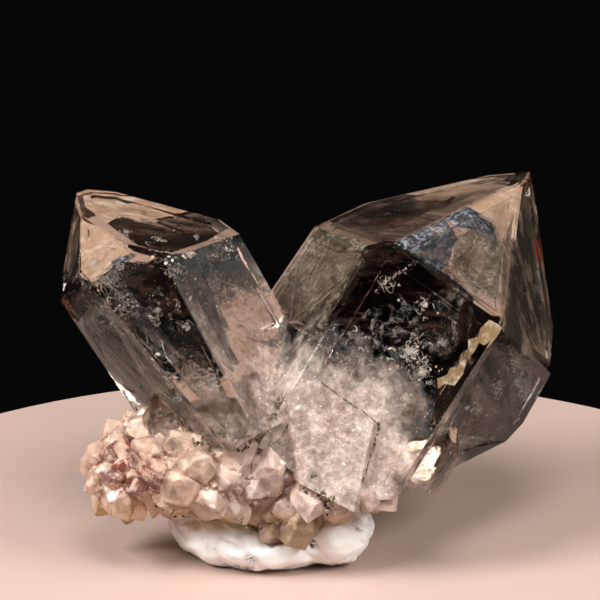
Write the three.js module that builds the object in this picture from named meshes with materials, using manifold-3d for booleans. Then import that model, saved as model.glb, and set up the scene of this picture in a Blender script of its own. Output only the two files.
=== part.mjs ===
// A skeletal smoky quartz specimen: two large smoky crystals that fan out from a crust of small
// pale quartz crystals, standing in a lump of white mounting putty.
// Millimetres, +Z up. The front of the specimen faces -Y and +X is to its right.
import * as THREE from "three";
import { mergeVertices } from "three/addons/utils/BufferGeometryUtils.js";
import Module from "manifold-3d";

const wasm = await Module();
wasm.setup();

// Driving dimensions
const blockSide = 110; // the block that each crystal is cut from
const puttyGap = 0.3; // clearance between the putty and the quartz
const undersideSides = 12; // straight stretches around the flat underside of the putty
const undersidePress = 0.35; // how far they are pressed in from its rounded outline
const undersideSlope = 2.2; // how far they spread outward for each millimetre up
const grainSpacing = 3.3; // between the small crystals of the crust
const grainRadius = [1.3, 2.3]; // smallest and largest small crystal of the crust
const grainSink = 0.35; // how much of its radius a small crystal is sunk into the crust
const grainTurn = 30; // how far a small crystal leans away from straight out, degrees
const randomStart = 20; // picks one of the many possible crusts
const baseCentre = [0.3, 4.9]; // the point of the drawing that becomes the origin on the ground

// Quartz habit
const sidesOfQuartz = 6;
const sideStep = 360 / sidesOfQuartz;
const tipAngle = 51.8; // between the long axis and a line straight out of a tip face

// The left crystal. Faces are numbered from 0, the first one right of the front, then on
// through the front and the left to the back. Distances are from the centre to each face.
const leftCrystal = {
  centre: [-16, 6.2, 28.9],
  sideLean: -34.3,
  backLean: 20.9,
  spin: 26.7,
  sides: [8.4, 11, 9.4, 8.6, 10.4, 9.4],
  flare: [2.4, -2.2, 6.2, -5.5, 3, 2],
  tips: [7.2, 11.25, 11, 11.2, 10.8, 9.9],
  foot: 20.5,
  windows: {
    tip0: [[1.5, 0.3], [3, 0.6]],
    tip1: [[0.8, 0.3]],
    tip2: [[0.9, 0.3]],
    side0: [[1.4, 0.25]],
    side1: [[0.8, 0.3], [1.8, 0.55]],
    side2: [[1.2, 0.3]],
    side4: [[1.6, 0.3], [3, 0.6]],
  },
};

// The right crystal, numbered in the same way.
const rightCrystal = {
  centre: [13.2, 6.2, 25.4],
  sideLean: 36.9,
  backLean: 18.7,
  spin: 42.8,
  sides: [11.1, 9.5, 12, 16.6, 11.7, 15.6],
  flare: [-2.6, -1.5, 2.4, -1.6, 0, -5.8],
  tips: [10.8, 9.5, 10.8, 18, 19, 16.8],
  foot: 23,
  cuts: [
    { facing: [0.55, 0.1, -0.83], through: [23.4, 5.3, 12.3] },
    { facing: [0.02, 0.07, -1], through: [9, -11, 10.2] },
    { facing: [-0.1, 0.5, -0.86], through: [18, 4, 10.6] },
  ],
  windows: {
    tip0: [[1.3, 0.3]],
    tip1: [[0.9, 0.3], [2.2, 0.55]],
    tip2: [[1.3, 0.3], [3.2, 0.6]],
    side0: [[1.2, 0.3]],
    side1: [[1.3, 0.3]],
    side2: [[1.4, 0.3]],
    side4: [[1.8, 0.3], [3.4, 0.6]],
  },
};

// Smaller crystals grown onto the two large ones.
const sideCrystals = [
  {
    // A stepped layer low on the left face of the right crystal, in parallel growth with it.
    centre: rightCrystal.centre,
    sideLean: rightCrystal.sideLean,
    backLean: rightCrystal.backLean,
    spin: rightCrystal.spin,
    flare: rightCrystal.flare,
    sides: [4, 9.1, 12.6, 9, 4, 4],
    tips: [4, 3, 3.8, 4.2, 4, 4],
    foot: 20,
  },
  {
    // The pale plate low on the front of the right crystal.
    centre: [2, -5, 16],
    cuts: [
      { facing: [-0.04, -0.91, 0.41], through: [2.4, -8.1, 19.6] },
      { facing: [0.6, -0.12, 0.87], through: [7.2, -8.5, 17.9] },
      { facing: [0.99, -0.38, -0.07], through: [7.2, -8.5, 17.9] },
      { facing: [-0.44, -0.1, -0.89], through: [-1.7, -10.8, 12.4] },
      { facing: [-1, -0.36, 0.01], through: [-2.3, -7.6, 20.9] },
      { facing: [-0.4, -0.08, 0.98], through: [-2.3, -7.6, 20.9] },
      { facing: [0, 1, 0], through: [0, -6, 0] },
    ],
  },
  {
    // The clear crystal under the right one.
    centre: [13.5, -7.4, 12.9],
    sideLean: 34,
    backLean: 12,
    spin: 40,
    sides: [1.9, 1.8, 1.9, 2, 2, 2],
    tips: [3, 2.8, 3.3, 3.2, 3.2, 3.2],
    foot: 2.6,
  },
  {
    // The clear crystal at the foot of the left one.
    centre: [-15.6, -4.4, 15.6],
    sideLean: -14,
    backLean: 10,
    spin: 22,
    sides: [2.3, 2.1, 2.2, 2, 2, 2],
    tips: [2.9, 3.1, 2.7, 3.1, 3.1, 3.1],
    foot: 4,
  },
];

// The rounded masses under the crust, each with a centre and three radii.
const crustMasses = [
  { centre: [-10.8, -4.4, 11.9], radii: [9.4, 6.8, 4.8] },
  { centre: [-20.2, -1.8, 10.2], radii: [3.6, 4.8, 4.2] },
  { centre: [-18.2, -1.4, 13.8], radii: [2.8, 3.2, 2.3] },
  { centre: [2, -7.4, 9.9], radii: [4.6, 3.4, 1.9] },
  { centre: [-2.6, -6, 7.4], radii: [3, 3, 2.6] },
  { centre: [-2.4, 3, 12.6], radii: [8.6, 6.6, 4.6] },
  { centre: [-9, 5.4, 11.6], radii: [6, 4.8, 3.8] },
  { centre: [6.2, -8.4, 10.1], radii: [2.2, 2.2, 1] },
];

// The lump of putty: rounded masses cut off flat on the ground.
const puttyMasses = [
  { centre: [-4.7, 2.4, 2.9], radii: [11.2, 11.5, 4.6] },
  { centre: [2.9, -2.4, 4.2], radii: [4.5, 6.2, 4.6] },
];

const degree = Math.PI / 180;

// Repeatable random numbers from 0 to 1.
function randomSource(start) {
  let state = start;
  return () => {
    state = (state + 0x6d2b79f5) | 0;
    let mixed = Math.imul(state ^ (state >>> 15), 1 | state);
    mixed = (mixed + Math.imul(mixed ^ (mixed >>> 7), 61 | mixed)) ^ mixed;
    return ((mixed ^ (mixed >>> 14)) >>> 0) / 2 ** 32;
  };
}

// Returns the direction of a long axis from its lean to the side and to the back.
function leaningAxis({ sideLean, backLean }) {
  const side = sideLean * degree;
  const back = backLean * degree;
  const level = Math.cos(back);
  return new THREE.Vector3(Math.sin(side) * level, Math.sin(back), Math.cos(side) * level);
}

// Returns a direction at right angles to the axis. Azimuth 0 is to the right, 90 to the front.
function outward(axis, azimuth) {
  const nearlyLevel = Math.abs(axis.y) > 0.95;
  const back = nearlyLevel ? new THREE.Vector3(0, 0, 1) : new THREE.Vector3(0, 1, 0);
  const right = back.cross(axis).normalize();
  const front = right.clone().cross(axis);
  const turn = azimuth * degree;
  return right.multiplyScalar(Math.cos(turn)).addScaledVector(front, Math.sin(turn));
}

// Returns the faces of a crystal by name. A face is the plane where normal . point = reach,
// and the crystal lies on the side with the smaller values.
function crystalFaces(shape) {
  const centre = new THREE.Vector3(...shape.centre);
  const faces = new Map();
  const addFace = (name, normal, distance) => {
    faces.set(name, { normal, reach: normal.dot(centre) + distance });
  };
  (shape.cuts ?? []).forEach(({ facing, through }, index) => {
    const normal = new THREE.Vector3(...facing).normalize();
    addFace(`cut${index}`, normal, normal.dot(new THREE.Vector3(...through).sub(centre)));
  });
  if (!shape.sides) {
    return faces;
  }
  const axis = shape.axis ?? leaningAxis(shape);
  for (let index = 0; index < sidesOfQuartz; index += 1) {
    const across = outward(axis, shape.spin + sideStep * index);
    const flare = (shape.flare?.[index] ?? 0) * degree;
    const side = across
      .clone()
      .multiplyScalar(Math.cos(flare))
      .addScaledVector(axis, -Math.sin(flare));
    const tip = across
      .clone()
      .multiplyScalar(Math.sin(tipAngle * degree))
      .addScaledVector(axis, Math.cos(tipAngle * degree));
    addFace(`side${index}`, side, shape.sides[index]);
    addFace(`tip${index}`, tip, shape.tips[index]);
  }
  addFace("foot", axis.clone().negate(), shape.foot);
  return faces;
}

// Turns a closed geometry into a solid that can be joined and cut.
function solidFrom(geometry) {
  const bare = geometry.clone();
  bare.deleteAttribute("normal");
  bare.deleteAttribute("uv");
  const merged = mergeVertices(bare, 1e-4);
  return new wasm.Manifold(
    new wasm.Mesh({
      numProp: 3,
      vertProperties: merged.attributes.position.array,
      triVerts: new Uint32Array(merged.index.array),
    }),
  );
}

// Cuts a block down to the space inside all the given faces.
function spaceInside(faces, centre) {
  const block = new THREE.BoxGeometry(blockSide, blockSide, blockSide);
  block.translate(...centre);
  let solid = solidFrom(block);
  for (const { normal, reach } of faces) {
    solid = solid.trimByPlane([-normal.x, -normal.y, -normal.z], -reach);
  }
  return solid;
}

// The sunken middle of one skeletal face. Its floor is level with the face and its walls run
// along the neighbouring faces, a rim's width inside them.
function sunkenWindow(faces, sunken, rim, depth, centre) {
  const walls = [];
  for (const [name, { normal, reach }] of faces) {
    if (name === sunken) {
      walls.push({ normal: normal.clone().negate(), reach: depth - reach });
    } else {
      walls.push({ normal, reach: reach - rim });
    }
  }
  return spaceInside(walls, centre);
}

// A whole crystal, with all its faces moved outward by the given growth.
function crystalSolid(shape, growth = 0) {
  const faces = crystalFaces(shape);
  for (const face of faces.values()) {
    face.reach += growth;
  }
  let solid = spaceInside(faces.values(), shape.centre);
  if (growth > 0) {
    return solid;
  }
  for (const [name, steps] of Object.entries(shape.windows ?? {})) {
    for (const [rim, depth] of steps) {
      solid = solid.subtract(sunkenWindow(faces, name, rim, depth, shape.centre));
    }
  }
  return solid;
}

function massSolid({ centre, radii }, growth, around, down) {
  const ball = new THREE.SphereGeometry(1, around, down);
  ball.scale(...radii.map((radius) => radius + growth));
  ball.translate(...centre);
  return solidFrom(ball);
}

// How deep a point lies in a rounded mass: below 1 is inside.
function depthInMass(point, { centre, radii }) {
  return Math.hypot(...point.map((value, axis) => (value - centre[axis]) / radii[axis]));
}

function isInsideFaces(point, faces) {
  return [...faces.values()].every(({ normal, reach }) => normal.dot(point) < reach);
}

// Lists the small crystals of the crust: evenly spread over the rounded masses, each pointing
// roughly straight out, and left out where they would be buried.
function crustGrains() {
  const random = randomSource(randomStart);
  const between = (low, high) => low + (high - low) * random();
  const buried = [leftCrystal, rightCrystal, ...sideCrystals].map(crystalFaces);
  const goldenTurn = Math.PI * (3 - Math.sqrt(5));
  const grains = [];
  for (const mass of crustMasses) {
    const [across, deep, tall] = mass.radii;
    const meanSquare = (across * deep + across * tall + deep * tall) / 3;
    const count = Math.round((4 * Math.PI * meanSquare) / grainSpacing ** 2);
    for (let index = 0; index < count; index += 1) {
      const height = 1 - (2 * (index + 0.5)) / count;
      const level = Math.sqrt(1 - height * height);
      const direction = [
        level * Math.cos(index * goldenTurn),
        level * Math.sin(index * goldenTurn),
        height,
      ];
      const surface = direction.map((value, axis) => mass.centre[axis] + value * mass.radii[axis]);
      const lean = Math.tan(grainTurn * degree);
      const axis = new THREE.Vector3(
        direction[0] / across + (lean * between(-1, 1)) / deep,
        direction[1] / deep + (lean * between(-1, 1)) / deep,
        direction[2] / tall + (lean * between(-1, 1)) / deep,
      ).normalize();
      const radius = between(...grainRadius);
      const centre = surface.map((value, at) => value - radius * grainSink * axis.getComponent(at));
      const sides = Array.from({ length: sidesOfQuartz }, () => radius * between(0.75, 1.15));
      const tips = Array.from({ length: sidesOfQuartz }, () => radius * between(0.85, 1.3));
      const spin = between(0, sideStep);
      const hidden =
        crustMasses.some((other) => other !== mass && depthInMass(centre, other) < 0.85) ||
        buried.some((faces) => isInsideFaces(new THREE.Vector3(...centre), faces));
      if (!hidden) {
        grains.push({ centre, axis, spin, sides, tips, foot: radius });
      }
    }
  }
  return grains;
}

// All the quartz as one solid, with its outside moved outward by the given growth.
function quartzSolid(growth) {
  const crystals = [leftCrystal, rightCrystal, ...sideCrystals, ...crustGrains()];
  const parts = [
    ...crystals.map((shape) => crystalSolid(shape, growth)),
    ...crustMasses.map((mass) => massSolid(mass, growth, 12, 8)),
  ];
  return largestPiece(wasm.Manifold.union(parts));
}

function largestPiece(solid) {
  return solid.decompose().reduce((best, next) => (next.volume() > best.volume() ? next : best));
}

// Returns how far the flat underside of the putty reaches in a level direction.
function undersideReach(across) {
  const reaches = puttyMasses.map(({ centre, radii }) => {
    const spread = Math.sqrt(1 - (centre[2] / radii[2]) ** 2);
    const half = Math.hypot(radii[0] * across.x, radii[1] * across.y) * spread;
    return centre[0] * across.x + centre[1] * across.y + half;
  });
  return Math.max(...reaches);
}

// Presses the rim of the flat underside into straight stretches, so that the putty stands
// firmly on the corners between them.
function pressedUnderside(solid) {
  for (let side = 0; side < undersideSides; side += 1) {
    const turn = (side / undersideSides) * 2 * Math.PI;
    const across = new THREE.Vector3(Math.cos(turn), Math.sin(turn), 0);
    const reach = undersideReach(across) - undersidePress;
    const inward = new THREE.Vector3(-across.x, -across.y, undersideSlope);
    solid = solid.trimByPlane(inward.clone().normalize().toArray(), -reach / inward.length());
  }
  return solid;
}

function puttySolid() {
  const masses = puttyMasses.map((mass) => massSolid(mass, 0, 32, 18));
  const lump = wasm.Manifold.union(masses).trimByPlane([0, 0, 1], 0);
  return largestPiece(pressedUnderside(lump).subtract(quartzSolid(puttyGap)));
}

function meshFrom(solid, name, material) {
  const { vertProperties, triVerts } = solid.getMesh();
  const indexed = new THREE.BufferGeometry();
  indexed.setAttribute("position", new THREE.BufferAttribute(vertProperties, 3));
  indexed.setIndex(new THREE.BufferAttribute(triVerts, 1));
  const geometry = indexed.toNonIndexed();
  geometry.computeVertexNormals();
  const mesh = new THREE.Mesh(geometry, new THREE.MeshStandardMaterial(material));
  mesh.name = name;
  return mesh;
}

const smokyQuartz = { color: 0xcdb8a6, roughness: 0.08, metalness: 0 };
const whitePutty = { color: 0xf1efec, roughness: 0.6, metalness: 0 };

const specimen = new THREE.Group();
specimen.name = "smoky_quartz_specimen";
specimen.add(meshFrom(quartzSolid(0), "quartz_cluster", smokyQuartz));
specimen.add(meshFrom(puttySolid(), "mounting_putty", whitePutty));
specimen.position.set(-baseCentre[0], -baseCentre[1], 0);

export default specimen;
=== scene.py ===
# A skeletal smoky quartz specimen in a lump of white putty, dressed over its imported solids.
import math
import random

import bmesh
import bpy
from mathutils import Matrix, Vector, noise
from mathutils.bvhtree import BVHTree


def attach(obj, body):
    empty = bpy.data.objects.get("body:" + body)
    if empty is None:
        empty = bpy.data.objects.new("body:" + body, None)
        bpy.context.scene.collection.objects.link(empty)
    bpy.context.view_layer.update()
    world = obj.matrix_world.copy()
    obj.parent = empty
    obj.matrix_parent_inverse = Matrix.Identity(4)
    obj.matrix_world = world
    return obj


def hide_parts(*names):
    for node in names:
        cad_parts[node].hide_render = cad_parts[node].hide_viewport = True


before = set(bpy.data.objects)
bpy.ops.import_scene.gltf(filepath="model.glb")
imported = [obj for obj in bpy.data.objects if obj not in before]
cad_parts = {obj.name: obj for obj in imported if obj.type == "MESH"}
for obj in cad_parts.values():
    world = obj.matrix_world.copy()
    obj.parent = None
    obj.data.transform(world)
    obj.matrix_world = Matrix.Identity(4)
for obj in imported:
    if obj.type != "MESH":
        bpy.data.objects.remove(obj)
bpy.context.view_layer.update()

# Driving dimensions. Shapes are drawn in millimetres, as in the part's source, with the
# front of the specimen at -Y.
MM = 0.001
BASE_CENTRE = Vector((0.3, 4.9, 0.0))  # the point of the drawing that is the frame's origin
TO_FRAME = Matrix.Scale(MM, 4) @ Matrix.Translation(-BASE_CENTRE)
BLOCK_SIDE = 110.0  # the block each crystal is cut from
EDGE_WEAR = 0.06
SHARP_EDGE = 0.3  # radians: edges that turn by more than this are worn
WINDOW_STEP = 1.1  # between the points along a window's edge
WINDOW_WAVE = 0.35
WINDOW_SLOPE = 0.12

# Quartz habit
SIDES = 6
TIP_ANGLE = math.radians(51.8)
REFRACTION = 1.544

# Camera
VIEW_ELEVATION = math.radians(16.0)
VIEW_DISTANCE = 320.0
VIEW_WIDTH = 66.0
VIEW_TARGET = Vector((-0.9, 0.0, 29.5))
SENSOR = 36.0


def make_camera():
    data = bpy.data.cameras.new("camera")
    data.sensor_width = SENSOR
    data.lens = SENSOR * VIEW_DISTANCE / VIEW_WIDTH
    data.clip_start = 0.01
    camera = bpy.data.objects.new("camera", data)
    bpy.context.scene.collection.objects.link(camera)
    towards = Vector((0.0, -math.cos(VIEW_ELEVATION), math.sin(VIEW_ELEVATION)))
    camera.location = TO_FRAME @ (VIEW_TARGET + VIEW_DISTANCE * towards)
    camera.rotation_euler = (math.pi / 2 - VIEW_ELEVATION, 0.0, 0.0)
    bpy.context.scene.camera = camera


make_camera()

PICTURE_SIDE = 600
PIXEL = VIEW_WIDTH / PICTURE_SIDE  # millimetres at the target
VIEW_RIGHT = Vector((1.0, 0.0, 0.0))
VIEW_UP = Vector((0.0, math.sin(VIEW_ELEVATION), math.cos(VIEW_ELEVATION)))
VIEW_FORWARD = Vector((0.0, math.cos(VIEW_ELEVATION), -math.sin(VIEW_ELEVATION)))
EYE = VIEW_TARGET - VIEW_DISTANCE * VIEW_FORWARD


def sight_line(pixel):
    """The direction in which the camera sees a pixel of its 600 by 600 picture."""
    across, down = pixel
    middle = PICTURE_SIDE / 2
    offset = VIEW_RIGHT * (across - middle) * PIXEL + VIEW_UP * (middle - down) * PIXEL
    return (VIEW_FORWARD * VIEW_DISTANCE + offset).normalized()


def seen_on_face(pixel, shape, face, depth):
    """The point seen at a pixel on the plane a given depth under a face of a crystal."""
    normal, reach = crystal_faces(shape)[face]
    sight = sight_line(pixel)
    distance = (reach - depth - normal.dot(EYE)) / normal.dot(sight)
    return EYE + sight * distance


# Shapes of the crystals, the same as the solids'. A window is a list of steps, and each has its
# rim and depth from the step before.
LEFT = {
    "centre": (-16, 6.2, 28.9),
    "side_lean": -34.3,
    "back_lean": 20.9,
    "spin": 26.7,
    "sides": (8.4, 11, 9.4, 8.6, 10.4, 9.4),
    "flare": (2.4, -2.2, 6.2, -5.5, 3, 2),
    "tips": (7.2, 11.25, 11, 11.2, 10.8, 9.9),
    "foot": 20.5,
    "windows": {
        "tip0": ((1.5, 0.3), (1.5, 0.3)),
        "tip1": ((0.8, 0.3),),
        "tip2": ((0.9, 0.3),),
        "side0": ((1.4, 0.25),),
        "side1": ((0.8, 0.3), (1.0, 0.25)),
        "side2": ((1.2, 0.3),),
        "side4": ((1.6, 0.3), (1.4, 0.3)),
    },
}
RIGHT = {
    "centre": (13.2, 6.2, 25.4),
    "side_lean": 36.9,
    "back_lean": 18.7,
    "spin": 42.8,
    "sides": (11.1, 9.5, 12, 16.6, 11.7, 15.6),
    "flare": (-2.6, -1.5, 2.4, -1.6, 0, -5.8),
    "tips": (10.8, 9.5, 10.8, 18, 19, 16.8),
    "foot": 23,
    "cuts": (
        ((0.55, 0.1, -0.83), (23.4, 5.3, 12.3)),
        ((0.02, 0.07, -1), (9, -11, 10.2)),
        ((-0.1, 0.5, -0.86), (18, 4, 10.6)),
    ),
    "windows": {
        "tip0": ((1.3, 0.3),),
        "tip1": ((0.9, 0.3), (1.3, 0.25)),
        "tip2": ((1.3, 0.3), (1.9, 0.3)),
        "side0": ((1.2, 0.3),),
        "side1": ((1.3, 0.3),),
        "side2": ((1.4, 0.3),),
        "side4": ((1.8, 0.3), (1.6, 0.3)),
    },
}
STEP = {
    **{name: RIGHT[name] for name in ("centre", "side_lean", "back_lean", "spin", "flare")},
    "sides": (4, 9.1, 12.6, 9, 4, 4),
    "tips": (4, 3, 3.8, 4.2, 4, 4),
    "foot": 20,
}
PLATE = {
    "centre": (2, -8, 16),
    "cuts": (
        ((-0.04, -0.91, 0.41), (2.4, -8.1, 19.6)),
        ((0.6, -0.12, 0.87), (7.2, -8.5, 17.9)),
        ((0.99, -0.38, -0.07), (7.2, -8.5, 17.9)),
        ((-0.44, -0.1, -0.89), (-1.7, -10.8, 12.4)),
        ((-1, -0.36, 0.01), (-2.3, -7.6, 20.9)),
        ((-0.4, -0.08, 0.98), (-2.3, -7.6, 20.9)),
        ((0, 1, 0), (0, -6, 0)),
    ),
}
RIGHT_SMALL = {
    "centre": (13.5, -7.4, 12.9),
    "side_lean": 34,
    "back_lean": 12,
    "spin": 40,
    "sides": (1.9, 1.8, 1.9, 2, 2, 2),
    "tips": (3, 2.8, 3.3, 3.2, 3.2, 3.2),
    "foot": 2.6,
}
LEFT_SMALL = {
    "centre": (-15.6, -4.4, 15.6),
    "side_lean": -14,
    "back_lean": 10,
    "spin": 22,
    "sides": (2.3, 2.1, 2.2, 2, 2, 2),
    "tips": (2.9, 3.1, 2.7, 3.1, 3.1, 3.1),
    "foot": 4,
}
ALL_CRYSTALS = (LEFT, RIGHT, STEP, PLATE, RIGHT_SMALL, LEFT_SMALL)

# The crust, with the same numbers as the solids: centres and radii of its rounded masses
CRUST_MASSES = (
    ((-10.8, -4.4, 11.9), (9.4, 6.8, 4.8)),
    ((-20.2, -1.8, 10.2), (3.6, 4.8, 4.2)),
    ((-18.2, -1.4, 13.8), (2.8, 3.2, 2.3)),
    ((2, -7.4, 9.9), (4.6, 3.4, 1.9)),
    ((-2.6, -6, 7.4), (3, 3, 2.6)),
    ((-2.4, 3, 12.6), (8.6, 6.6, 4.6)),
    ((-9, 5.4, 11.6), (6, 4.8, 3.8)),
    ((6.2, -8.4, 10.1), (2.2, 2.2, 1)),
)
GRAIN_SPACING = 3.3
GRAIN_RADIUS = (1.3, 2.3)
GRAIN_SINK = 0.35
GRAIN_TURN = math.radians(30)
GRAIN_START = 20

# What is added to the crust here: smaller crystals, swollen masses and one honey-brown crystal
SMALL_SPACING = 1.1
SMALL_RADIUS = (0.3, 0.9)
MASS_SWELL = 0.8  # how much fuller the masses are between the small crystals
MASS_BLOCKS = 0.75  # blocks to the millimetre
GRAIN_WEAR = 0.07
HONEY_CRYSTAL = {
    "centre": (-1.1, -8.8, 5.9),
    "side_lean": 25,
    "back_lean": -12,
    "spin": 12,
    "sides": (1.8, 1.5, 1.7, 1.9, 1.6, 1.5),
    "tips": (2.1, 1.9, 2.3, 2.2, 2.0, 2.1),
    "foot": 1.5,
}
STAINED_PLACE = ((-19, -6, 12.4), (4.4, 8, 3.2))
HONEY_PLACE = (HONEY_CRYSTAL["centre"], (3, 2.6, 2.6))


# Crystal geometry
def leaning_axis(shape):
    side = math.radians(shape["side_lean"])
    back = math.radians(shape["back_lean"])
    level = math.cos(back)
    return Vector((math.sin(side) * level, math.sin(back), math.cos(side) * level))


def outward(axis, azimuth):
    """A direction at right angles to the axis: 0 is to the right, a quarter turn to the front."""
    nearly_level = abs(axis.y) > 0.95
    back = Vector((0, 0, 1)) if nearly_level else Vector((0, 1, 0))
    right = back.cross(axis).normalized()
    front = right.cross(axis)
    return right * math.cos(azimuth) + front * math.sin(azimuth)


def crystal_faces(shape):
    """The faces of a crystal by name, each as (normal, reach): normal . point <= reach inside."""
    centre = Vector(shape["centre"])
    faces = {}
    for index, (facing, through) in enumerate(shape.get("cuts", ())):
        normal = Vector(facing).normalized()
        faces[f"cut{index}"] = (normal, normal.dot(Vector(through)))
    if "sides" not in shape:
        return faces
    axis = shape.get("axis") or leaning_axis(shape)
    flares = shape.get("flare", (0,) * SIDES)
    for index in range(SIDES):
        across = outward(axis, math.radians(shape["spin"]) + index * math.tau / SIDES)
        flare = math.radians(flares[index])
        side = across * math.cos(flare) - axis * math.sin(flare)
        tip = across * math.sin(TIP_ANGLE) + axis * math.cos(TIP_ANGLE)
        faces[f"side{index}"] = (side, side.dot(centre) + shape["sides"][index])
        faces[f"tip{index}"] = (tip, tip.dot(centre) + shape["tips"][index])
    faces["foot"] = (-axis, -axis.dot(centre) + shape["foot"])
    return faces


def is_inside(point, faces, margin=0.0):
    return all(normal.dot(point) < reach - margin for normal, reach in faces.values())


def cut_from_block(faces, centre):
    """Cuts a block down to the space inside the faces. Returns the mesh and its faces by name."""
    mesh = bmesh.new()
    bmesh.ops.create_cube(mesh, size=BLOCK_SIDE)
    bmesh.ops.translate(mesh, verts=mesh.verts, vec=centre)
    mark = mesh.faces.layers.int.new("crystal_face")
    names = list(faces)
    for number, name in enumerate(names, start=1):
        normal, reach = faces[name]
        cut = bmesh.ops.bisect_plane(
            mesh,
            geom=mesh.verts[:] + mesh.edges[:] + mesh.faces[:],
            dist=1e-6,
            plane_co=normal * reach,
            plane_no=normal,
            clear_outer=True,
        )
        rim = [item for item in cut["geom_cut"] if isinstance(item, bmesh.types.BMEdge)]
        if len(rim) < 3:
            continue
        made = bmesh.ops.contextual_create(mesh, geom=rim)
        for face in made["faces"]:
            face[mark] = number
    bmesh.ops.recalc_face_normals(mesh, faces=mesh.faces[:])
    by_name = {names[face[mark] - 1]: face for face in mesh.faces if face[mark]}
    return mesh, by_name


def clip_polygon(points, inward, through):
    """The part of a flat polygon on the inward side of a line."""
    kept = []
    for start, end in zip(points, points[1:] + points[:1]):
        first = inward.dot(start - through)
        second = inward.dot(end - through)
        if first >= 0:
            kept.append(start)
        if first * second < 0:
            kept.append(start.lerp(end, first / (first - second)))
    return kept


def inset_polygon(points, normal, rim):
    """The polygon whose edges all lie a rim's width inside the given one."""
    inner = list(points)
    for start, end in zip(points, points[1:] + points[:1]):
        inward = normal.cross(end - start).normalized()
        inner = clip_polygon(inner, inward, start + inward * rim)
    return inner


def waved_loop(points, normal, step, wave):
    """Points along the polygon about a step apart, pushed inward by up to the wave."""
    loop = []
    for start, end in zip(points, points[1:] + points[:1]):
        inward = normal.cross(end - start).normalized()
        count = max(1, round((end - start).length / step))
        for index in range(count):
            point = start.lerp(end, index / count)
            push = 0.0 if index == 0 else wave * (0.5 + 0.5 * noise.noise(point * 0.7))
            loop.append(point + inward * push)
    return loop


def edges_around(mesh, verts):
    made = []
    for start, end in zip(verts, verts[1:] + verts[:1]):
        made.append(mesh.edges.get((start, end)) or mesh.edges.new((start, end)))
    return made


def sink_window(mesh, face, terraces):
    """Sinks the middle of a face in terraces, each a flat rim and then a short steep wall."""
    normal = face.normal.copy()
    outline = [vert.co.copy() for vert in face.verts]
    outer_verts = face.verts[:]
    mesh.faces.remove(face)
    level = Vector((0, 0, 0))
    for rim, depth in terraces:
        inner = inset_polygon(outline, normal, rim)
        if len(inner) < 3:
            break
        loop = waved_loop(inner, normal, WINDOW_STEP, WINDOW_WAVE)
        top_verts = [mesh.verts.new(point + level) for point in loop]
        ring = edges_around(mesh, outer_verts) + edges_around(mesh, top_verts)
        bmesh.ops.bridge_loops(mesh, edges=ring)
        level = level - normal * depth
        middle = sum(loop, Vector()) / len(loop)
        wall = [point + (middle - point).normalized() * WINDOW_SLOPE for point in loop]
        low_verts = [mesh.verts.new(point + level) for point in wall]
        count = len(loop)
        for index in range(count):
            after = (index + 1) % count
            mesh.faces.new(
                (top_verts[index], top_verts[after], low_verts[after], low_verts[index])
            )
        outline = wall
        outer_verts = low_verts
    mesh.faces.new(outer_verts)


def wear_edges(mesh, width):
    sharp = []
    for edge in mesh.edges:
        if edge.is_manifold and edge.calc_face_angle() > SHARP_EDGE:
            sharp.append(edge)
    bmesh.ops.bevel(
        mesh,
        geom=sharp,
        offset=width,
        segments=2,
        affect="EDGES",
        clamp_overlap=True,
    )


def crystal_mesh(shape, wear=EDGE_WEAR):
    mesh, by_name = cut_from_block(crystal_faces(shape), shape["centre"])
    for name, terraces in shape.get("windows", {}).items():
        if name in by_name:
            sink_window(mesh, by_name[name], terraces)
    bmesh.ops.recalc_face_normals(mesh, faces=mesh.faces[:])
    wear_edges(mesh, wear)
    return mesh


def new_object(name, mesh, material):
    """Makes an object in the frame from a drawn mesh in millimetres."""
    bmesh.ops.triangulate(mesh, faces=[face for face in mesh.faces if len(face.verts) > 4])
    data = bpy.data.meshes.new(name)
    mesh.to_mesh(data)
    mesh.free()
    data.transform(TO_FRAME)
    data.materials.append(material)
    made = bpy.data.objects.new(name, data)
    bpy.context.scene.collection.objects.link(made)
    return made


def apply_modifiers(piece):
    bpy.context.view_layer.update()
    evaluated = piece.evaluated_get(bpy.context.evaluated_depsgraph_get())
    shaped = bpy.data.meshes.new_from_object(evaluated)
    piece.modifiers.clear()
    piece.data = shaped


def join(base, others):
    """Joins other closed objects to the base and removes them."""
    group = bpy.data.collections.new("others")
    bpy.context.scene.collection.children.link(group)
    for other in others:
        bpy.context.scene.collection.objects.unlink(other)
        group.objects.link(other)
    step = base.modifiers.new("join", "BOOLEAN")
    step.operation = "UNION"
    step.solver = "MANIFOLD"
    step.operand_type = "COLLECTION"
    step.collection = group
    apply_modifiers(base)
    for other in others:
        bpy.data.objects.remove(other)
    bpy.data.collections.remove(group)
    return base


# Repeatable random numbers, the same as in the part's source
def random_source(start):
    mask = 0xFFFFFFFF
    state = start

    def draw():
        nonlocal state
        state = (state + 0x6D2B79F5) & mask
        mixed = ((state ^ (state >> 15)) * (1 | state)) & mask
        mixed = (mixed + (((mixed ^ (mixed >> 7)) * (61 | mixed)) & mask) ^ mixed) & mask
        return (mixed ^ (mixed >> 14)) / 2**32

    return draw


# Materials
def new_material(name, roughness):
    material = bpy.data.materials.new(name)
    material.use_nodes = True
    tree = material.node_tree
    shader = tree.nodes["Principled BSDF"]
    shader.inputs["Roughness"].default_value = roughness
    return material, tree, shader


def add_node(tree, kind, **settings):
    """Adds a node and sets the properties that the settings name."""
    node = tree.nodes.new(kind)
    for name, value in settings.items():
        setattr(node, name, value)
    return node


def coordinates(tree):
    return add_node(tree, "ShaderNodeTexCoord").outputs["Object"]


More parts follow.
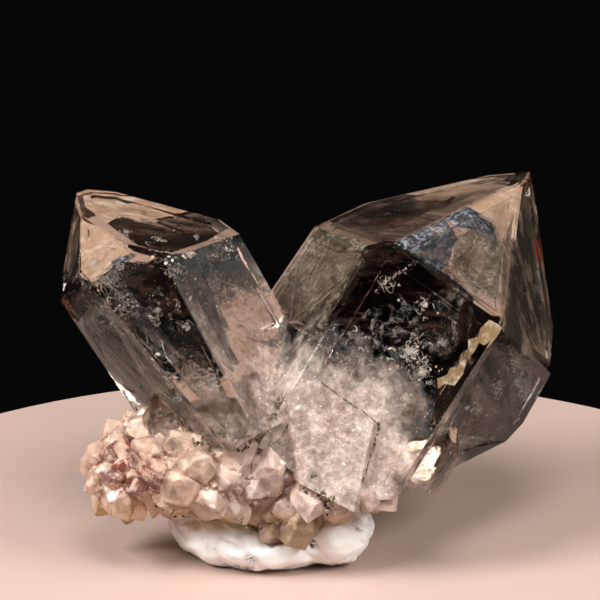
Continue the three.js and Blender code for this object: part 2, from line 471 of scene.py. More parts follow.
def noise_field(tree, scale, detail=4.0, roughness=0.55, vector=None):
    field = add_node(tree, "ShaderNodeTexNoise")
    field.inputs["Scale"].default_value = scale
    field.inputs["Detail"].default_value = detail
    field.inputs["Roughness"].default_value = roughness
    tree.links.new(vector or coordinates(tree), field.inputs["Vector"])
    return field.outputs["Fac"]


def remap(tree, value, low, high, to_low=0.0, to_high=1.0):
    node = add_node(tree, "ShaderNodeMapRange", interpolation_type="SMOOTHSTEP")
    tree.links.new(value, node.inputs["Value"])
    node.inputs["From Min"].default_value = low
    node.inputs["From Max"].default_value = high
    node.inputs["To Min"].default_value = to_low
    node.inputs["To Max"].default_value = to_high
    return node.outputs["Result"]


def maths(tree, operation, *values):
    node = add_node(tree, "ShaderNodeMath", operation=operation)
    for socket, value in zip(node.inputs, values):
        if isinstance(value, (int, float)):
            socket.default_value = value
        else:
            tree.links.new(value, socket)
    return node.outputs[0]


def mix_colours(tree, factor, first, second):
    node = add_node(tree, "ShaderNodeMix", data_type="RGBA")
    sockets = [socket for socket in node.inputs if socket.type == "RGBA"]
    for socket, value in zip(sockets, (first, second)):
        if isinstance(value, tuple):
            socket.default_value = (*value, 1.0)
        else:
            tree.links.new(value, socket)
    tree.links.new(factor, node.inputs[0])
    return [socket for socket in node.outputs if socket.type == "RGBA"][0]


def vector_maths(tree, operation, *values):
    node = add_node(tree, "ShaderNodeVectorMath", operation=operation)
    for socket, value in zip(node.inputs, values):
        if isinstance(value, bpy.types.NodeSocket):
            tree.links.new(value, socket)
        else:
            socket.default_value = value
    gives_number = operation in ("DOT_PRODUCT", "LENGTH")
    return node.outputs["Value" if gives_number else "Vector"]


def along(tree, direction):
    """How far a point lies along a direction, in metres."""
    return vector_maths(tree, "DOT_PRODUCT", coordinates(tree), direction)


def add_bump(tree, shader, height, strength, distance, onto=None):
    bump = add_node(tree, "ShaderNodeBump")
    bump.inputs["Strength"].default_value = strength
    bump.inputs["Distance"].default_value = distance
    tree.links.new(height, bump.inputs["Height"])
    if onto is not None:
        tree.links.new(onto, bump.inputs["Normal"])
    tree.links.new(bump.outputs["Normal"], shader.inputs["Normal"])
    return bump.outputs["Normal"]


MILK = (0.38, 0.27, 0.22)
CREAM = (0.56, 0.43, 0.36)
CLEAR = (0.98, 0.95, 0.92)
MILK_LINES = (0.25, 0.17, 0.13)
MILK_BRIGHT = (0.80, 0.68, 0.61)
MILK_GRIT = (0.12, 0.07, 0.05)
# Painted glints: near-white spots painted into the milky quartz
MILK_PAINTED_GLINTS = (0.96, 0.93, 0.90)
# The rounded spaces, with centre and radii, in which the quartz is milky
MILKY_ROOTS = (
    ((-6.5, -3, 11), (11.2, 12, 11.8)),
    ((0.3, -3, 11.6), (14.5, 12, 13.8)),
)
SMOKE = (0.74, 0.56, 0.42, 1.0)
SMOKE_DENSITY = 38.0


def height_along(tree, shape):
    """How far up its own axis from its centre a point of a crystal lies, in metres."""
    axis = leaning_axis(shape)
    centre = TO_FRAME @ Vector(shape["centre"])
    return maths(tree, "SUBTRACT", along(tree, axis), axis.dot(centre))


def depth_under(tree, shape, face):
    """How far a point lies under the plane of one face of a crystal, in metres."""
    normal, reach = crystal_faces(shape)[face]
    through = TO_FRAME @ (normal * reach)
    return maths(tree, "SUBTRACT", normal.dot(through), along(tree, normal))


def reach_in_mass(tree, mass):
    """How far out a point lies in a rounded mass: 1 on its surface."""
    middle, radii = mass
    inverse = Vector([1 / (radius * MM) for radius in radii])
    offset = -(TO_FRAME @ Vector(middle)) * inverse
    place = vector_maths(tree, "MULTIPLY_ADD", coordinates(tree), inverse, offset)
    return vector_maths(tree, "LENGTH", place)


def contour_lines(tree, field, count, width):
    """Thin lines where a smooth field passes each of a number of levels."""
    steps = maths(tree, "FRACT", maths(tree, "MULTIPLY", field, count))
    return remap(tree, steps, width, 0.0)


def block_pattern(tree, scale, tilt):
    """Small uneven blocks: a shade for each, and the surface's normal tilted for each."""
    swirl = add_node(tree, "ShaderNodeTexNoise")
    swirl.inputs["Scale"].default_value = scale * 0.6
    place = coordinates(tree)
    tree.links.new(place, swirl.inputs["Vector"])
    sway = (0.9 / scale,) * 3
    shifted = vector_maths(tree, "MULTIPLY_ADD", swirl.outputs["Color"], sway, place)
    cells = add_node(tree, "ShaderNodeTexVoronoi")
    cells.inputs["Scale"].default_value = scale
    tree.links.new(shifted, cells.inputs["Vector"])
    shade = add_node(tree, "ShaderNodeSeparateColor")
    tree.links.new(cells.outputs["Color"], shade.inputs[0])
    centred = vector_maths(tree, "SUBTRACT", cells.outputs["Color"], (0.5, 0.5, 0.5))
    normal = add_node(tree, "ShaderNodeNewGeometry").outputs["Normal"]
    tilted = vector_maths(tree, "MULTIPLY_ADD", centred, (tilt,) * 3, normal)
    return shade.outputs[0], vector_maths(tree, "NORMALIZE", tilted)


def smoky_quartz():
    """Clear brown quartz that turns milky towards its foot, with growth lines across its axis
    and painted glints in its milky part.
    """
    material, tree, shader = new_material("smoky quartz", 0.03)
    cloud = noise_field(tree, 260.0, 6.0, 0.6)
    spread = maths(tree, "MULTIPLY", maths(tree, "SUBTRACT", cloud, 0.5), 1.1)
    left_root, right_root = [reach_in_mass(tree, mass) for mass in MILKY_ROOTS]
    nearest = maths(tree, "MINIMUM", left_root, right_root)
    root = remap(tree, maths(tree, "ADD", nearest, spread), 1.15, 0.75)
    left_height = height_along(tree, LEFT)
    lifted = maths(tree, "MULTIPLY_ADD", spread, 9.0 * MM, left_height)
    fading = remap(tree, lifted, 3.0 * MM, -9.0 * MM)
    off_face = maths(tree, "ABSOLUTE", depth_under(tree, LEFT, "side0"))
    frosted = remap(tree, off_face, 0.45 * MM, 0.1 * MM, 0.0, 0.4)
    milky = maths(tree, "MAXIMUM", root, maths(tree, "MULTIPLY", frosted, fading))
    wisps = remap(tree, noise_field(tree, 620.0, 8.0, 0.7), 0.36, 0.7)
    veil = maths(tree, "MULTIPLY", milky, maths(tree, "MULTIPLY_ADD", wisps, 0.5, 0.42))
    tree.links.new(maths(tree, "SUBTRACT", 1.0, veil), shader.inputs["Transmission Weight"])

    drift = noise_field(tree, 210.0, 3.0, 0.5)
    lines = contour_lines(tree, drift, 22.0, 0.1)
    grit = remap(tree, noise_field(tree, 2300.0, 3.0, 0.6), 0.66, 0.74)
    milk = mix_colours(tree, remap(tree, noise_field(tree, 150.0), 0.4, 0.62), MILK, CREAM)
    milk = mix_colours(tree, maths(tree, "MULTIPLY", lines, 0.7), milk, MILK_LINES)
    crisp = remap(tree, noise_field(tree, 1500.0, 6.0, 0.75), 0.42, 0.6)
    milk = mix_colours(tree, maths(tree, "MULTIPLY", crisp, 0.5), milk, MILK_BRIGHT)
    # Painted glints: tiny near-white spots painted into the milky colour as sparkle.
    painted_glints = remap(tree, noise_field(tree, 1900.0, 2.0, 0.5), 0.68, 0.72)
    milk = mix_colours(tree, maths(tree, "MULTIPLY", grit, 0.9), milk, MILK_GRIT)
    milk = mix_colours(tree, painted_glints, milk, MILK_PAINTED_GLINTS)
    tint = remap(tree, veil, 0.0, 0.1)
    tree.links.new(mix_colours(tree, tint, CLEAR, milk), shader.inputs["Base Color"])
    shader.inputs["IOR"].default_value = REFRACTION

    across = add_node(tree, "ShaderNodeCombineXYZ")
    tree.links.new(maths(tree, "MULTIPLY", left_height, 2600.0), across.inputs["X"])
    tree.links.new(noise_field(tree, 120.0, 2.0), across.inputs["Y"])
    growth = noise_field(tree, 1.0, 3.0, 0.6, across.outputs["Vector"])
    waves = noise_field(tree, 180.0, 3.0, 0.5)
    first = add_bump(tree, shader, waves, 0.5, 0.00025)
    add_bump(tree, shader, growth, 0.18, 0.00006, first)
    smoke = add_node(tree, "ShaderNodeVolumeAbsorption")
    smoke.inputs["Color"].default_value = SMOKE
    smoke.inputs["Density"].default_value = SMOKE_DENSITY
    output = tree.nodes["Material Output"]
    tree.links.new(smoke.outputs["Volume"], output.inputs["Volume"])
    return material


CRUST_SHADES = ((0.62, 0.40, 0.31), (0.95, 0.76, 0.66))
CRUST_WARM = (0.93, 0.62, 0.42)
CRUST_BLOCKS = (0.46, 0.27, 0.22)
CRUST_YELLOW = (0.50, 0.32, 0.10)
CRUST_RED = (0.26, 0.06, 0.045)
CRUST_GRIT = (0.20, 0.09, 0.06)
HONEY_SHADES = ((0.22, 0.12, 0.05), (0.70, 0.50, 0.32))


def pale_quartz():
    """Sugary pinkish crust with iron-stained and yellowish places and one honey-brown crystal."""
    material, tree, shader = new_material("pale quartz", 0.36)
    patches = noise_field(tree, 170.0, 4.0, 0.6)
    fine = noise_field(tree, 1000.0, 6.0, 0.7)
    body = mix_colours(tree, fine, *CRUST_SHADES)
    warm = remap(tree, along(tree, (1, 0, 0)), -7.0 * MM, -14.0 * MM)
    body = mix_colours(tree, maths(tree, "MULTIPLY", warm, 0.55), body, CRUST_WARM)
    blocks, facets = block_pattern(tree, 1000.0, 0.5)
    body = mix_colours(tree, maths(tree, "MULTIPLY", blocks, 0.35), body, CRUST_BLOCKS)
    low = remap(tree, along(tree, (0, 0, 1)), 9.5 * MM, 6.5 * MM)
    yellow = maths(tree, "MULTIPLY", low, remap(tree, patches, 0.42, 0.62))
    body = mix_colours(tree, yellow, body, CRUST_YELLOW)
    near = remap(tree, reach_in_mass(tree, STAINED_PLACE), 1.2, 0.8)
    spots = remap(tree, noise_field(tree, 700.0, 5.0, 0.75), 0.46, 0.58)
    body = mix_colours(tree, maths(tree, "MULTIPLY", near, spots), body, CRUST_RED)
    grit = remap(tree, noise_field(tree, 2600.0, 3.0, 0.6), 0.64, 0.71)
    body = mix_colours(tree, maths(tree, "MULTIPLY", grit, 0.85), body, CRUST_GRIT)
    honey = remap(tree, reach_in_mass(tree, HONEY_PLACE), 1.1, 0.9)
    brown = mix_colours(tree, fine, *HONEY_SHADES)
    tree.links.new(mix_colours(tree, honey, body, brown), shader.inputs["Base Color"])
    cloudy = remap(tree, noise_field(tree, 420.0, 6.0, 0.65), 0.35, 0.65, 0.3, 0.75)
    tree.links.new(maths(tree, "SUBTRACT", 1.0, cloudy), shader.inputs["Transmission Weight"])
    shader.inputs["IOR"].default_value = REFRACTION
    add_bump(tree, shader, noise_field(tree, 900.0, 5.0), 0.4, 0.00015, facets)
    return material


def film_material(name, dark, pale, fineness, cover, stretch=(1, 1, 1)):
    """A sheet inside the quartz, for films and for painted shade and painted reflections:
    its two colours, how fine its markings are and what it hides.
    """
    material, tree, shader = new_material(name, 0.8)
    place = vector_maths(tree, "MULTIPLY", coordinates(tree), stretch)
    markings = remap(tree, noise_field(tree, fineness, 7.0, 0.72, place), 0.46, 0.68)
    tree.links.new(mix_colours(tree, markings, dark, pale), shader.inputs["Base Color"])
    gaps = remap(tree, noise_field(tree, 0.35 * fineness, 4.0, 0.6, place), 0.3, 0.5, 0.45, 1.0)
    tree.links.new(maths(tree, "MULTIPLY", gaps, cover), shader.inputs["Alpha"])
    shader.inputs["Specular IOR Level"].default_value = 0.0
    return material


def veil_material():
    """Healed cracks: pale films that show only in wisps."""
    material, tree, shader = new_material("veils", 0.35)
    broad = noise_field(tree, 330.0, 3.0, 0.6)
    wisps = noise_field(tree, 1100.0, 8.0, 0.75)
    body = maths(tree, "MULTIPLY", remap(tree, broad, 0.4, 0.7), remap(tree, wisps, 0.46, 0.66))
    tree.links.new(maths(tree, "MULTIPLY", body, 0.6), shader.inputs["Alpha"])
    shader.inputs["Base Color"].default_value = (0.88, 0.83, 0.79, 1)
    return material


def fleck_material():
    """Bright curled films around the trapped pockets."""
    material, tree, shader = new_material("flecks", 0.3)
    shade = mix_colours(tree, noise_field(tree, 800.0), (1.0, 0.98, 0.95), (0.95, 0.84, 0.72))
    tree.links.new(shade, shader.inputs["Base Color"])
    return material


def stain_material():
    material, tree, shader = new_material("iron stain", 0.8)
    earth = noise_field(tree, 1500.0)
    shade = mix_colours(tree, earth, (0.018, 0.012, 0.006), (0.12, 0.085, 0.03))
    tree.links.new(shade, shader.inputs["Base Color"])
    return material


def putty_material():
    material, tree, shader = new_material("white putty", 0.5)
    smears = noise_field(tree, 220.0, 5.0)
    shade = mix_colours(tree, smears, (0.82, 0.81, 0.79), (0.93, 0.92, 0.90))
    tree.links.new(shade, shader.inputs["Base Color"])
    shader.inputs["Subsurface Weight"].default_value = 0.15
    shader.inputs["Subsurface Radius"].default_value = (0.001, 0.001, 0.001)
    add_bump(tree, shader, noise_field(tree, 700.0, 6.0), 0.25, 0.0002)
    return material


def floor_material():
    material, tree, shader = new_material("floor", 0.6)
    shade = mix_colours(tree, noise_field(tree, 6.0), (0.43, 0.30, 0.25), (0.47, 0.34, 0.29))
    tree.links.new(shade, shader.inputs["Base Color"])
    return material


# The clear crystals
def make_crystals():
    quartz = smoky_quartz()
    left, *others = [new_object("crystals", crystal_mesh(shape), quartz) for shape in ALL_CRYSTALS]
    return join(left, others)


# The crust
def depth_in_mass(point, mass):
    middle, radii = mass
    return Vector(
        [(value - start) / radius for value, start, radius in zip(point, middle, radii)]
    ).length


def grain_shapes(spacing, radii, start):
    """Small crystals spread evenly over the crust's masses, pointing roughly straight out."""
    draw = random_source(start)

    def between(low, high):
        return low + (high - low) * draw()

    buried = [crystal_faces(shape) for shape in ALL_CRYSTALS]
    golden = math.pi * (3 - math.sqrt(5))
    lean = math.tan(GRAIN_TURN)
    grains = []
    for mass in CRUST_MASSES:
        middle, (across, deep, tall) = mass
        mean_square = (across * deep + across * tall + deep * tall) / 3
        count = round(4 * math.pi * mean_square / spacing**2)
        for index in range(count):
            height = 1 - 2 * (index + 0.5) / count
            level = math.sqrt(1 - height * height)
            turn = index * golden
            direction = Vector((level * math.cos(turn), level * math.sin(turn), height))
            surface = Vector(middle) + direction * Vector((across, deep, tall))
            leans = [lean * between(-1, 1) / deep for _ in range(3)]
            straight = (direction.x / across, direction.y / deep, direction.z / tall)
            axis = Vector([first + second for first, second in zip(straight, leans)]).normalized()
            radius = between(*radii)
            centre = surface - axis * radius * GRAIN_SINK
            sides = [radius * between(0.75, 1.15) for _ in range(SIDES)]
            tips = [radius * between(0.85, 1.3) for _ in range(SIDES)]
            spin = between(0, 360 / SIDES)
            hidden = any(
                other is not mass and depth_in_mass(centre, other) < 0.85
                for other in CRUST_MASSES
            ) or any(is_inside(centre, faces) for faces in buried)
            if not hidden:
                grain = {"centre": centre, "axis": axis, "spin": spin, "foot": radius}
                grains.append({**grain, "sides": sides, "tips": tips})
    return grains


def make_crust(material):
    """All the masses and small crystals of the crust, joined in one closed mesh."""
    pieces = []
    for middle, radii in CRUST_MASSES:
        mass = bmesh.new()
        bmesh.ops.create_icosphere(mass, subdivisions=4, radius=1.0)
        for vert in mass.verts:
            direction = vert.co.copy()
            point = Vector(middle) + direction * Vector(radii)
            nearest, next_nearest = noise.voronoi(point * MASS_BLOCKS)[0][:2]
            block = min(next_nearest - nearest, 0.5)
            vert.co = point + direction * (MASS_SWELL * (2 * block - 0.2))
        pieces.append(new_object("mass", mass, material))
    large = grain_shapes(GRAIN_SPACING, GRAIN_RADIUS, GRAIN_START)
    small = grain_shapes(SMALL_SPACING, SMALL_RADIUS, GRAIN_START + 1)
    for shape in large + small + [HONEY_CRYSTAL]:
        pieces.append(new_object("grain", crystal_mesh(shape, wear=GRAIN_WEAR), material))
    crust = join(pieces[0], pieces[1:])
    crust.name = "crust"
    return crust


# Inside the crystals
FLECK_RADIUS = 0.12
FLECK_SPREAD = 0.28
FLECK_CLEARANCE = 0.35
RIBBON_STEPS = 10
RIBBON_SHARE = 0.7  # of the flecks; the others are flakes
RIBBON_SWEEP = (0.8, 3.8)
RIBBON_WIDTH = (0.03, 0.1)
LEFT_FINGERPRINTS = 16
RIGHT_FINGERPRINTS = 18


def sheet_directions(normal):
    """Two directions at right angles to each other and to the normal."""
    first = normal.orthogonal().normalized()
    return first, normal.cross(first)


def random_unit(chance):
    direction = Vector((chance.gauss(0, 1), chance.gauss(0, 1), chance.gauss(0, 1)))
    return direction.normalized()


def random_point_in(shape, faces, chance, low, high, margin):
    """A random point inside a crystal, between two heights along its axis from its centre."""
    axis = leaning_axis(shape)
    reach = max(shape["sides"])
    while True:
        offset = axis * chance.uniform(low, high)
        offset += outward(axis, chance.uniform(0, math.tau)) * reach * math.sqrt(chance.random())
        point = Vector(shape["centre"]) + offset
        if is_inside(point, faces, margin):
            return point


def add_ribbon(mesh, centre, normal, radius, sweep, width, chance):
    """A thin curl of film: an arc that tapers at both ends."""
    first, second = sheet_directions(normal)
    start = chance.uniform(0, math.tau)
    previous = None
    for index in range(RIBBON_STEPS + 1):
        share = index / RIBBON_STEPS
        angle = start + sweep * share
        bend = radius * (1 + 0.4 * math.sin(6 * share + start) + 0.2 * math.sin(15 * share))
        outwards = first * math.cos(angle) + second * math.sin(angle)
        half = 0.5 * width * math.sin(math.pi * (0.08 + 0.84 * share))
        lift = normal * 0.25 * radius * math.sin(4 * share + start)
        middle = centre + outwards * bend + lift
        pair = (
            mesh.verts.new(middle - outwards * half),
            mesh.verts.new(middle + outwards * half + normal * half * 0.5),
        )
        if previous:
            mesh.faces.new((previous[0], previous[1], pair[1], pair[0]))
        previous = pair


def add_shard(mesh, centre, normal, radius, chance):
    """A flat flake with an uneven outline."""
    first, second = sheet_directions(normal)
    corners = chance.randint(4, 6)
    start = chance.uniform(0, math.tau)
    stretch = chance.uniform(0.25, 1.0)
    outline = []
    for index in range(corners):
        angle = start + math.tau * index / corners
        reach = radius * chance.uniform(0.5, 1.2)
        offset = first * math.cos(angle) * reach + second * math.sin(angle) * reach * stretch
        outline.append(mesh.verts.new(centre + offset))
    mesh.faces.new(outline)


def add_fleck(mesh, centre, normal, faces, chance):
    """One trapped pocket's film, a curl or a flake, if it fits inside the crystal."""
    radius = FLECK_RADIUS + abs(chance.gauss(0, FLECK_SPREAD))
    if not is_inside(centre, faces, FLECK_CLEARANCE + radius * 1.3):
        return
    if chance.random() < RIBBON_SHARE:
        sweep = chance.uniform(*RIBBON_SWEEP)
        width = chance.uniform(*RIBBON_WIDTH)
        add_ribbon(mesh, centre, normal, radius, sweep, width, chance)
    else:
        add_shard(mesh, centre, normal, radius * 0.6, chance)


# Bright knots of flecks: the pixel, the face they are seen through, their depth under it,
# the knot's radius in millimetres and the number of flecks
LEFT_KNOTS = (
    ((126, 236), "tip0", 0.9, 1.2, 60),
    ((160, 242), "tip0", 0.9, 1.5, 80),
    ((196, 240), "tip0", 0.9, 1.0, 30),
    ((106, 350), "side2", 0.3, 1.6, 60),
    ((136, 372), "side2", 0.3, 1.6, 60),
    ((123, 237), "side1", 3.5, 1.3, 40),
    ((165, 250), "side1", 3.0, 2.2, 90),
    ((172, 276), "side1", 2.5, 0.9, 30),
    ((204, 278), "side1", 3.0, 1.6, 60),
    ((158, 313), "side1", 1.6, 1.5, 36),
    ((187, 325), "side1", 1.5, 0.9, 20),
    ((108, 326), "side2", 1.5, 1.3, 40),
    ((250, 335), "side0", 1.5, 1.9, 70),
    ((213, 385), "side1", 2.0, 2.6, 130),
    ((165, 378), "side1", 2.0, 2.8, 120),
    ((235, 300), "side0", 2.0, 2.2, 60),
)
RIGHT_KNOTS = (
    ((350, 212), "tip2", 1.2, 3.0, 60),
    ((405, 202), "tip2", 1.2, 3.0, 50),
    ((478, 247), "tip1", 2.0, 2.0, 60),
    ((488, 280), "tip1", 2.0, 2.2, 70),
    ((455, 275), "tip1", 2.0, 1.6, 40),
    ((385, 285), "side1", 2.5, 1.5, 24),
    ((423, 305), "side1", 2.0, 1.4, 36),
    ((410, 352), "side1", 1.0, 1.6, 300),
    ((422, 372), "side1", 1.0, 1.4, 220),
    ((345, 370), "side1", 2.2, 3.0, 130),
    ((300, 290), "side2", 0.6, 1.8, 120),
    ((298, 318), "side2", 0.6, 1.6, 140),
    ((322, 326), "side2", 0.6, 1.6, 120),
    ((340, 268), "side2", 0.6, 1.4, 60),
    ((515, 362), "side0", 0.8, 1.8, 130),
    ((496, 388), "side0", 0.8, 2.2, 160),
    ((476, 410), "side0", 0.8, 1.8, 90),
    ((522, 392), "side0", 0.8, 1.4, 50),
)


def add_knot(mesh, shape, faces, knot, chance):
    pixel, face, depth, size, count = knot
    heart = seen_on_face(pixel, shape, face, depth)
    for _ in range(count):
        centre = heart + random_unit(chance) * abs(chance.gauss(0, 0.75 * size))
        add_fleck(mesh, centre, random_unit(chance), faces, chance)


def add_fingerprint(mesh, shape, faces, chance):
    """A healed crack: flecks scattered along a gently curved sheet."""
    middle = random_point_in(shape, faces, chance, -11.0, 10.0, 1.5)
    normal = random_unit(chance)
    first, second = sheet_directions(normal)
    size = chance.uniform(1.5, 4.0)
    bend = chance.uniform(-0.12, 0.12)
    for _ in range(chance.randint(20, 50)):
        across = chance.gauss(0, 0.5) * size
        down = chance.gauss(0, 0.5) * size
        lift = bend * (across * across + down * down)
        centre = middle + first * across + second * down + normal * lift
        facing = (normal + 0.5 * random_unit(chance)).normalized()
        add_fleck(mesh, centre, facing, faces, chance)


def make_flecks(material):
    chance = random.Random(7)
    mesh = bmesh.new()
    crystals_inside = (
        (LEFT, LEFT_KNOTS, LEFT_FINGERPRINTS),
        (RIGHT, RIGHT_KNOTS, RIGHT_FINGERPRINTS),
    )
    for shape, knots, prints in crystals_inside:
        faces = crystal_faces(shape)
        for knot in knots:
            add_knot(mesh, shape, faces, knot, chance)
        for _ in range(prints):
            add_fingerprint(mesh, shape, faces, chance)
    return new_object("flecks", mesh, material)


# Veils: the crystal, the lowest and highest place along its axis from its centre, and how many
VEIL_ZONES = (
    (LEFT, -15.0, 0.0, 6),
    (RIGHT, -17.0, 0.0, 9),
)
VEIL_SIDE = 15  # points along each side of a veil's grid
VEIL_SIZE = (5.0, 13.0)
VEIL_BEND = (0.6, 2.2)


def add_veil(mesh, centre, faces, chance):
    """A curved sheet, kept where it lies well inside the crystal."""
    normal = random_unit(chance)
    first, second = sheet_directions(normal)
    size = chance.uniform(*VEIL_SIZE)
    bend = chance.uniform(*VEIL_BEND)
    shift = Vector((chance.uniform(0, 50), 0, 0))
    last = VEIL_SIDE - 1
    grid = {}
    for row in range(VEIL_SIDE):
        for column in range(VEIL_SIDE):
            across = (row / last - 0.5) * size
            down = (column / last - 0.5) * size
            flat = centre + first * across + second * down
            point = flat + normal * bend * noise.noise(flat * 0.22 + shift)
            if is_inside(point, faces, 0.5):
                grid[row, column] = mesh.verts.new(point)
    for row in range(last):
        for column in range(last):
            places = ((0, 0), (1, 0), (1, 1), (0, 1))
            corners = [(row + down, column + across) for down, across in places]
            if all(corner in grid for corner in corners):
                mesh.faces.new([grid[corner] for corner in corners])


def make_veils(material):
    chance = random.Random(11)
    mesh = bmesh.new()
    for shape, low, high, count in VEIL_ZONES:
        faces = crystal_faces(shape)
        for _ in range(count):
            centre = random_point_in(shape, faces, chance, low, high, 2.0)
            add_veil(mesh, centre, faces, chance)
    loose = [vert for vert in mesh.verts if not vert.link_faces]
    bmesh.ops.delete(mesh, geom=loose, context="VERTS")
    return new_object("veils", mesh, material)


# Sheets under the faces, films and painted shade and painted reflections: the crystal, the face,
# the depth under it and the outline in pixels
# Painted shade: near-black sheets under these faces that darken the quartz behind them.
PAINTED_SHADE_ZONES = (
    (LEFT, "tip0", 1.6, (
        (106, 231), (121, 222), (136, 225), (153, 227), (175, 222), (196, 223), (236, 232),
        (205, 250), (170, 262), (137, 253),
    )),
    (LEFT, "side1", 4.2, (
        (125, 262), (170, 266), (207, 254), (236, 240), (240, 262), (214, 290), (216, 322),
        (234, 366), (222, 380), (180, 352), (142, 304), (122, 282),
    )),
    (LEFT, "side2", 0.6, (
        (84, 334), (102, 318), (122, 330), (158, 366), (186, 402), (150, 404), (112, 374),
    )),
    (RIGHT, "tip2", 1.3, (
        (326, 228), (345, 214), (368, 204), (400, 202), (440, 205), (478, 202), (446, 217),
        (410, 225), (390, 233), (352, 237),
    )),
    (RIGHT, "side1", 4.0, (
        (366, 254), (388, 248), (420, 268), (444, 284), (468, 306), (466, 345), (442, 386),
        (400, 348), (320, 346),
    )),
    (RIGHT, "side0", 1.5, (
        (494, 328), (562, 372), (520, 442), (430, 486), (444, 430), (478, 354),
    )),
)
# Painted reflection: bluish sheets under these faces that paint a cool reflection.
PAINTED_BLUE_REFLECTIONS = (
    (RIGHT, "tip1", 1.1, (
        (393, 246), (444, 223), (455, 240), (446, 268), (437, 274),
    )),
    (RIGHT, "tip1", 1.5, (
        (444, 223), (466, 212), (490, 225), (505, 252), (480, 236), (456, 232),
    )),
    (LEFT, "tip1", 0.9, (
        (112, 262), (124, 250), (140, 256), (146, 275), (128, 285), (114, 278),
    )),
)
# Painted sheen: pale sheets under these faces that paint a pearly sheen of soft light.
PAINTED_PEARLY_SHEEN = (
    (RIGHT, "side2", 0.9, (
        (278, 284), (314, 231), (370, 246), (346, 298), (319, 343), (277, 318),
    )),
    (RIGHT, "tip1", 2.2, (
        (452, 244), (486, 226), (504, 262), (500, 312), (470, 292), (448, 272),
    )),
)
# Painted reflection: peach sheets under the tip faces that paint the peach which reflection and
# refraction give them.
PAINTED_PEACH_REFLECTIONS = (
    (LEFT, "tip0", 1.2, (
        (80, 193), (101, 192), (150, 204), (198, 217), (175, 220), (153, 225), (136, 223),
        (121, 220), (106, 229), (84, 214),
    )),
    (LEFT, "tip1", 0.8, (
        (82, 220), (106, 234), (130, 253), (112, 262), (114, 279), (96, 286), (83, 272),
    )),
    (RIGHT, "tip2", 1.2, (
        (368, 200), (447, 184), (518, 182), (478, 200), (440, 203), (400, 200), (374, 202),
    )),
    (RIGHT, "tip1", 1.0, (
        (467, 210), (520, 186), (512, 240), (500, 247), (491, 224),
    )),
)
YELLOW_FILMS = (
    (RIGHT, "side1", 1.0, (
        (489, 320), (500, 326), (494, 338), (484, 346), (479, 343), (474, 352), (466, 362),
        (463, 374), (454, 386), (445, 384), (438, 389), (437, 379), (447, 375), (450, 368),
        (458, 367), (461, 354), (468, 349), (468, 340), (478, 337), (480, 329),
    )),
)
DUSKY_FILMS = (
    (RIGHT, "tip0", 0.8, (
        (524, 178), (541, 236), (551, 300), (552, 372), (516, 350), (498, 326), (504, 240),
    )),
    (LEFT, "tip2", 0.8, (
        (76, 200), (82, 216), (82, 270), (66, 296), (62, 290),
    )),
)
RED_FILMS = (
    (RIGHT, "tip0", 0.7, (
        (535, 232), (541, 240), (543, 256), (546, 280), (540, 270), (536, 252),
    )),
)
FILM_MARGIN = 0.2
# Each piece of sheets, films and painted shade and painted reflections: its name, its zones, and
# its material's dark and pale colours, fineness, cover and, where its markings are drawn out, how
# they are scaled in each direction
FILM_PIECES = (
    (
        "painted_shade_zones",
        PAINTED_SHADE_ZONES,
        ((0.004, 0.002, 0.001), (0.07, 0.038, 0.026), 500.0, 0.96, (0.3, 1, 1)),
    ),
    ("painted_blue_reflections", PAINTED_BLUE_REFLECTIONS, ((0.03, 0.045, 0.065), (0.58, 0.66, 0.76), 1500.0, 0.88)),
    ("painted_pearly_sheen", PAINTED_PEARLY_SHEEN, ((0.17, 0.14, 0.10), (0.82, 0.74, 0.62), 900.0, 0.68)),
    (
        "painted_peach_reflections",
        PAINTED_PEACH_REFLECTIONS,
        ((0.60, 0.40, 0.28), (0.95, 0.76, 0.62), 800.0, 0.88, (0.4, 1, 1)),
    ),
    (
        "dusky_films",
        DUSKY_FILMS,
        ((0.08, 0.06, 0.045), (0.42, 0.33, 0.27), 500.0, 0.72, (1, 1, 0.3)),
    ),
    ("yellow_films", YELLOW_FILMS, ((0.42, 0.27, 0.14), (1.0, 0.93, 0.78), 1000.0, 0.96)),
    ("red_films", RED_FILMS, ((0.20, 0.02, 0.01), (0.80, 0.15, 0.03), 700.0, 0.95)),
)


def add_film(mesh, shape, face, depth, outline):
    """A thin sheet parallel to a face, cut off short of the other faces and slightly uneven."""
    faces = crystal_faces(shape)
    normal = faces[face][0]
    corners = [seen_on_face(pixel, shape, face, depth) for pixel in outline]
    for name, (other, reach) in faces.items():
        if name != face:
            corners = clip_polygon(corners, -other, other * (reach - FILM_MARGIN))
    earlier = set(mesh.verts)
    sheet = mesh.faces.new([mesh.verts.new(corner) for corner in corners])
    parts = bmesh.ops.triangulate(mesh, faces=[sheet])["faces"]
    edges = {edge for part in parts for edge in part.edges}
    bmesh.ops.subdivide_edges(mesh, edges=list(edges), cuts=5, use_grid_fill=True)
    for vert in mesh.verts:
        if vert not in earlier:
            vert.co += normal * 0.15 * noise.noise(vert.co * 0.8)


def make_films(name, zones, look):
    material = film_material(name.replace("_", " "), *look)
    mesh = bmesh.new()
    for zone in zones:
        add_film(mesh, *zone)
    return new_object(name, mesh, material)


